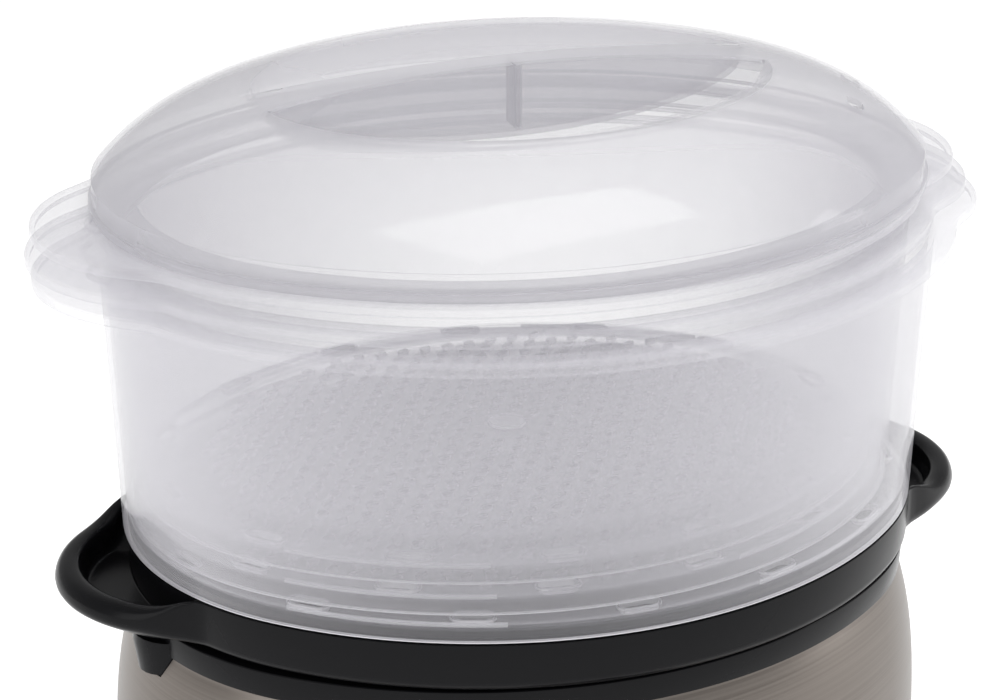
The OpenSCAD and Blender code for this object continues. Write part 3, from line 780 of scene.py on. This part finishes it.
def cut(piece, *shapes):
    """Takes closed shapes away from a piece."""
    for number, shape in enumerate(shapes):
        tool_mesh = bpy.data.meshes.new("cutter")
        tool_mesh.from_pydata([Vector(v) * MM for v in shape[0]], [], shape[1])
        work = bmesh.new()
        work.from_mesh(tool_mesh)
        bmesh.ops.recalc_face_normals(work, faces=work.faces)
        work.to_mesh(tool_mesh)
        work.free()
        tool = bpy.data.objects.new("cutter", tool_mesh)
        bpy.context.collection.objects.link(tool)
        step = piece.modifiers.new("cut_%d" % number, "BOOLEAN")
        step.operation = "DIFFERENCE"
        step.solver = "EXACT"
        step.object = tool
        bpy.context.view_layer.update()
        result = bpy.data.meshes.new_from_object(piece.evaluated_get(bpy.context.evaluated_depsgraph_get()))
        piece.modifiers.clear()
        piece.data = result
        bpy.data.objects.remove(tool)


def across_y(part, place):
    """A shape made along +Z, turned to lie along +Y."""
    turn = Matrix.Rotation(-math.pi / 2, 3, "X")
    return [tuple(turn @ Vector(v) + Vector(place)) for v in part[0]], part[1]


def round_plug(radius, length, steps=64):
    return revolved([(0.001, 0), (radius, 0), (radius, length), (0.001, length)], steps)


def lug(grow, steps=24):
    """The spout under the left handle, where water is topped up."""
    rings = [(-121.0, 97.0 - grow, 3.0 + grow), (-121.0, 98.2 - grow, 8.5 + grow),
             (-118.6, 108.0, 12.2 + grow), (-118.0, RING_TOP - 4, 12.5 + grow)]
    verts = [(x + r * math.cos(2 * math.pi * k / steps), LUG_Y + r * math.sin(2 * math.pi * k / steps), z)
             for x, z, r in rings for k in range(steps)]
    faces = [tuple(range(steps)), tuple((len(rings) - 1) * steps + k for k in range(steps))]
    for level in range(len(rings) - 1):
        for k in range(steps):
            k2 = (k + 1) % steps
            here, above = level * steps, (level + 1) * steps
            faces.append((here + k, here + k2, above + k2, above + k))
    return verts, faces


def steel(body):
    levels = [STEEL_TOP - (STEEL_TOP - PAN_TOP) * (k / 16) ** 1.5 for k in range(17)]
    skin = [(steel_out(z), z) for z in reversed(levels)]
    low = node_mm("steel_shell")[0][2]
    foot = [(STEEL_FLARE - STEEL_T, low), (STEEL_FLARE, low)]
    head = [(0, STEEL_TOP + 3), (-STEEL_T, STEEL_TOP + 3)]
    section = foot + skin + head + [(out - STEEL_T, z) for out, z in reversed(skin)]
    piece = mesh_object("steel_band", *band(BASE_OVAL, section), STEEL, body, "steel", (0, 0, 0), 50)
    front = node_mm("dial_plate")[0][1]
    lens_low, lens_high = node_mm("lamp_lens")
    lens_x = (lens_low[0] + lens_high[0]) / 2
    cut(piece, across_y(round_plug(29.0, 30), (0, front - 8, KNOB_Z)),
        across_y(round_plug(4.2, 30, 32), (lens_x, front - 8, KNOB_Z)),
        across_y(round_plug(4.5, 30, 32), (0, 88, 12.8)), lug(0.4))
    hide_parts("steel_shell")


def reservoir(body):
    bowl, basin = BOWL_Z, BASIN_Z
    section = rounded([
        (0.3, STEEL_TOP, 0.2), (1.1, STEEL_TOP, 0.3), (1.6, RING_TOP - 0.2, 0.8),
        (-9, RING_TOP, 1.0), (-11, 106, 2), (-12.5, basin + 3, 2), (-16, basin + 1.5, 2),
        (-32, basin, 2), (-34.4, basin - 3, 2), (-36, bowl + 4, 2),
        (-40, bowl + 2.4, 2), (-50, bowl + 2.4, 0), (-50, bowl, 0), (-38.6, bowl, 1), (-34, bowl + 3, 1),
        (-32, basin - 3, 1), (-16, basin - 1.4, 1), (-10, basin + 1, 1), (-8.6, 106, 1),
        (-6.4, RING_TOP - 2.4, 1), (0.3, RING_TOP - 2.4, 0.3)
    ], 3)
    floor = sheet_with_holes(BASE_OVAL.outline(-49.5, 96), [], [ring_of(38, 64)], lambda x, y: bowl, 2.4)
    parts = [band(BASE_OVAL, section), floor]
    for x in (-52, 52):
        parts.append(moved(revolved([(1.6, 0), (4.5, 0), (4.5, 12.4), (1.6, 12.4)], 32), (x, 0, bowl - 12)))
    for x in (-80, 80):
        for y in (-52, 52):
            parts.append(moved(revolved([(1.6, 0), (5, 0), (5, 47.6), (1.6, 47.6)], 32), (x, y, 35)))
    piece = mesh_object("reservoir_moulding", *joined(*parts), BLACK_GLOSS, body, "black_gloss")
    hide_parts("water_reservoir")
    spout = mesh_object("filling_spout", *lug(0), BLACK_GLOSS, body, "black_gloss", (0, 0, 0), 50)
    cut(spout, moved(round_plug(6, 15, 32), (-121, LUG_Y, 101)),
        band_block(BASE_OVAL, -10.0, 80, 130))
    return piece


def band_block(oval, out, low, high, steps=96):
    """A solid oval block."""
    verts = [(*oval.at(2 * math.pi * k / steps, out), z) for z in (low, high) for k in range(steps)]
    faces = [tuple(range(steps)), tuple(range(2 * steps - 1, steps - 1, -1))]
    faces += [(k, (k + 1) % steps, (k + 1) % steps + steps, k + steps) for k in range(steps)]
    return verts, faces


def pan(body):
    f = STEEL_FLARE
    foot = node_mm("base_pan")[0][2]
    section = rounded([
        (f - 3, foot, 1.5), (f + 0.4, foot + 2, 1.5), (f + 1.8, PAN_TOP, 0.5), (f + 0.2, PAN_TOP, 0.2),
        (f + 0.2, 13.6, 0), (f - 1.1, 13.6, 0), (f - 1.1, 17, 0.3), (f - 3, 17, 0.3),
        (f - 4.4, foot + 2.2, 1), (-16, foot + 2.2, 0), (-16, foot, 0)
    ], 3)
    holes = []
    for x in (-80, 80):
        for y in (-52, 52):
            holes.append(ring_of(3.5, 24, x, y))
    for k in range(11):
        holes.append(lozenge(-40 + 8 * k, 0, math.pi / 2, 48, 3))
    floor = sheet_with_holes(BASE_OVAL.outline(-15.6, 96), [], holes, lambda x, y: foot, 2.2)
    parts = [band(BASE_OVAL, section), floor]
    post = revolved([(3.5, 0), (5, 0), (5, 30), (1.7, 30), (1.7, 4.0), (3.5, 4.0)], 32)
    parts += [moved(post, (x, y, foot)) for x in (-80, 80) for y in (-52, 52)]
    piece = mesh_object("base_pan_moulding", *joined(*parts), BLACK_SATIN, body, "black_plastic")
    cut(piece, across_y(round_plug(4.5, 30, 32), (0, 84, 12.8)))
    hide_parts("base_pan")


# ---------- Build ----------
basket(0, "lower_basket")
basket(1, "middle_basket")
basket(2, "upper_basket")
lid("cover")
tray("tray")
steel("base")
reservoir("base")
pan("base")

# ---------- Floor, light and camera ----------
def soft_light(name, place, target, size, power, color=(1, 1, 1)):
    data = bpy.data.lights.new(name, "AREA")
    data.shape = "RECTANGLE"
    data.size, data.size_y = size
    data.energy = power
    data.color = color
    lamp = bpy.data.objects.new(name, data)
    lamp.location = place
    lamp.rotation_euler = (Vector(target) - Vector(place)).to_track_quat("-Z", "Y").to_euler()
    bpy.context.collection.objects.link(lamp)
    return lamp


def studio():
    mesh = bpy.data.meshes.new("studio_floor")
    half = 6.0
    corners = [(-half, -half, 0), (half, -half, 0), (half, half, 0), (-half, half, 0)]
    mesh.from_pydata(corners, [], [(0, 1, 2, 3)])
    floor = bpy.data.objects.new("studio_floor", mesh)
    bpy.context.collection.objects.link(floor)
    material, tree, shader = new_material("pale_floor")
    shader.inputs["Base Color"].default_value = (0.8, 0.8, 0.8, 1)
    shader.inputs["Roughness"].default_value = 0.9
    shader.inputs["Emission Color"].default_value = (1, 1, 1, 1)
    shader.inputs["Emission Strength"].default_value = 0.62
    mesh.materials.append(material)
    world = bpy.data.worlds.new("studio_world")
    bpy.context.scene.world = world
    world.use_nodes = True
    world.node_tree.nodes["Background"].inputs["Color"].default_value = (1, 1, 1, 1)
    world.node_tree.nodes["Background"].inputs["Strength"].default_value = 0.5
    middle = (0, 0, 0.18)
    soft_light("overhead_softbox", (0.1, -0.25, 1.25), middle, (0.9, 0.55), 5.5)
    soft_light("left_softbox", (-1.3, -0.5, 0.55), middle, (0.5, 0.9), 2.5)
    soft_light("right_softbox", (1.25, -0.35, 0.5), middle, (0.35, 0.9), 2.5)


def camera():
    azimuth, elevation = math.radians(-20.13), math.radians(23.71)
    distance = 0.8856
    target = Vector((-0.00687, 0, 0.14795))
    level = math.cos(elevation)
    back = Vector((math.sin(azimuth) * level, -math.cos(azimuth) * level, math.sin(elevation)))
    data = bpy.data.cameras.new("camera")
    data.lens = 100.7
    data.sensor_width = 36
    data.shift_y = 0.0946
    eye = bpy.data.objects.new("camera", data)
    eye.location = target + back * distance
    eye.rotation_euler = back.to_track_quat("Z", "Y").to_euler()
    bpy.context.collection.objects.link(eye)
    bpy.context.scene.camera = eye


studio()
camera()
bpy.context.scene.view_settings.view_transform = "Standard"
bpy.context.scene.cycles.transparent_max_bounces = 40
